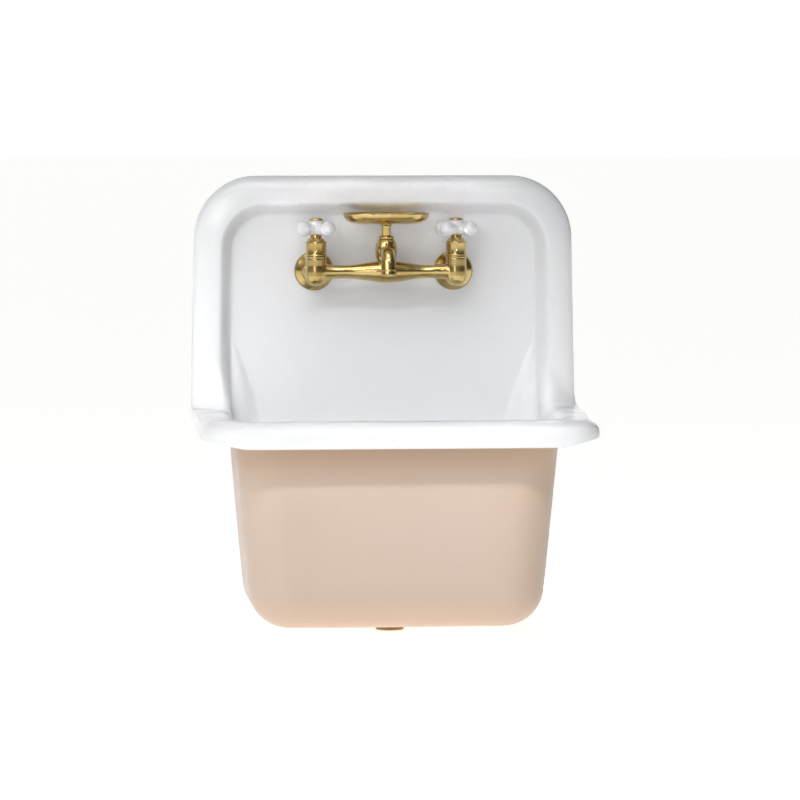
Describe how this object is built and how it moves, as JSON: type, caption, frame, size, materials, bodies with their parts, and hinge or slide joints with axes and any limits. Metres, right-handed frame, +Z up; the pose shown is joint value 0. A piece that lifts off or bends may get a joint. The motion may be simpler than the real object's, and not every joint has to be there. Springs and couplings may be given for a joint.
{
  "type": "wall-hung washbasin",
  "caption": "Wall-hung enamelled cast iron washbasin with a high rolled back, a bridge faucet with cross handles and a soap dish, a grid drain and a wall hanger.",
  "frame": {"origin": "centre of the wall hanger's four screw holes, on the wall plane", "axes": "+Z up, +Y into the wall, +X to the right for someone who faces the basin"},
  "size_m": [0.562, 0.3732, 0.651],
  "materials": {
    "enamelled_iron": "white vitreous enamel inside and on the rim, blush satin paint outside",
    "hanger_steel": "black painted pressed steel",
    "rubber_seal": "matt black",
    "plain_washer": "zinc plated",
    "valve_ceramic": "lapped",
    "porcelain": "clear glossy glaze over white",
    "steel_small": "bright stainless",
    "drain_brass": "satin",
    "satin_brass": "brushed satin, unlacquered"
  },
  "bodies": {
    "basin_body": {"basin": "enamelled_iron", "wall_hanger": "hanger_steel", "drain_gasket": "rubber_seal", "strainer_body": "drain_brass", "strainer_grid": "drain_brass", "strainer_screw": "drain_brass", "drain_washer": "rubber_seal", "friction_washer": "plain_washer", "drain_locknut": "drain_brass", "faucet_body": "satin_brass", "hot_gasket": "rubber_seal", "hot_escutcheon": "satin_brass", "hot_shank": "satin_brass", "hot_union_nut": "satin_brass", "hot_shank_washer": "rubber_seal", "hot_shank_locknut": "satin_brass", "cold_gasket": "rubber_seal", "cold_escutcheon": "satin_brass", "cold_shank": "satin_brass", "cold_union_nut": "satin_brass", "cold_shank_washer": "rubber_seal", "cold_shank_locknut": "satin_brass", "union_washers": "rubber_seal", "hot_seat_seal": "rubber_seal", "hot_cartridge": "satin_brass", "hot_fixed_disc": "valve_ceramic", "hot_bonnet": "satin_brass", "cold_seat_seal": "rubber_seal", "cold_cartridge": "satin_brass", "cold_fixed_disc": "valve_ceramic", "cold_bonnet": "satin_brass", "spout_o_rings": "rubber_seal", "spout_cap": "satin_brass", "soap_dish_post": "satin_brass", "soap_dish": "satin_brass", "dish_screw": "satin_brass"},
    "hot_handle_body": {"hot_moving_disc": "valve_ceramic", "hot_stem": "satin_brass", "hot_handle": "porcelain", "hot_handle_insert": "satin_brass", "hot_handle_screw": "steel_small", "hot_button": "satin_brass"},
    "cold_handle_body": {"cold_moving_disc": "valve_ceramic", "cold_stem": "satin_brass", "cold_handle": "porcelain", "cold_handle_insert": "satin_brass", "cold_handle_screw": "steel_small", "cold_button": "satin_brass"},
    "spout_body": {"spout": "satin_brass", "aerator_housing": "satin_brass", "aerator_screen": "steel_small"}
  },
  "joints": [
    {"name": "hot_handle_turn", "type": "hinge", "parent": "basin_body", "child": "hot_handle_body", "pos_m": [-0.1016, -0.066, -0.048], "axis": [0, 0, 1], "range_deg": [0, 90]},
    {"name": "cold_handle_turn", "type": "hinge", "parent": "basin_body", "child": "cold_handle_body", "pos_m": [0.1016, -0.066, -0.048], "axis": [0, 0, 1], "range_deg": [-90, 0]},
    {"name": "spout_swivel", "type": "hinge", "parent": "basin_body", "child": "spout_body", "pos_m": [0, -0.066, -0.048], "axis": [0, 0, 1], "range_deg": [-50, 50]}
  ]
}
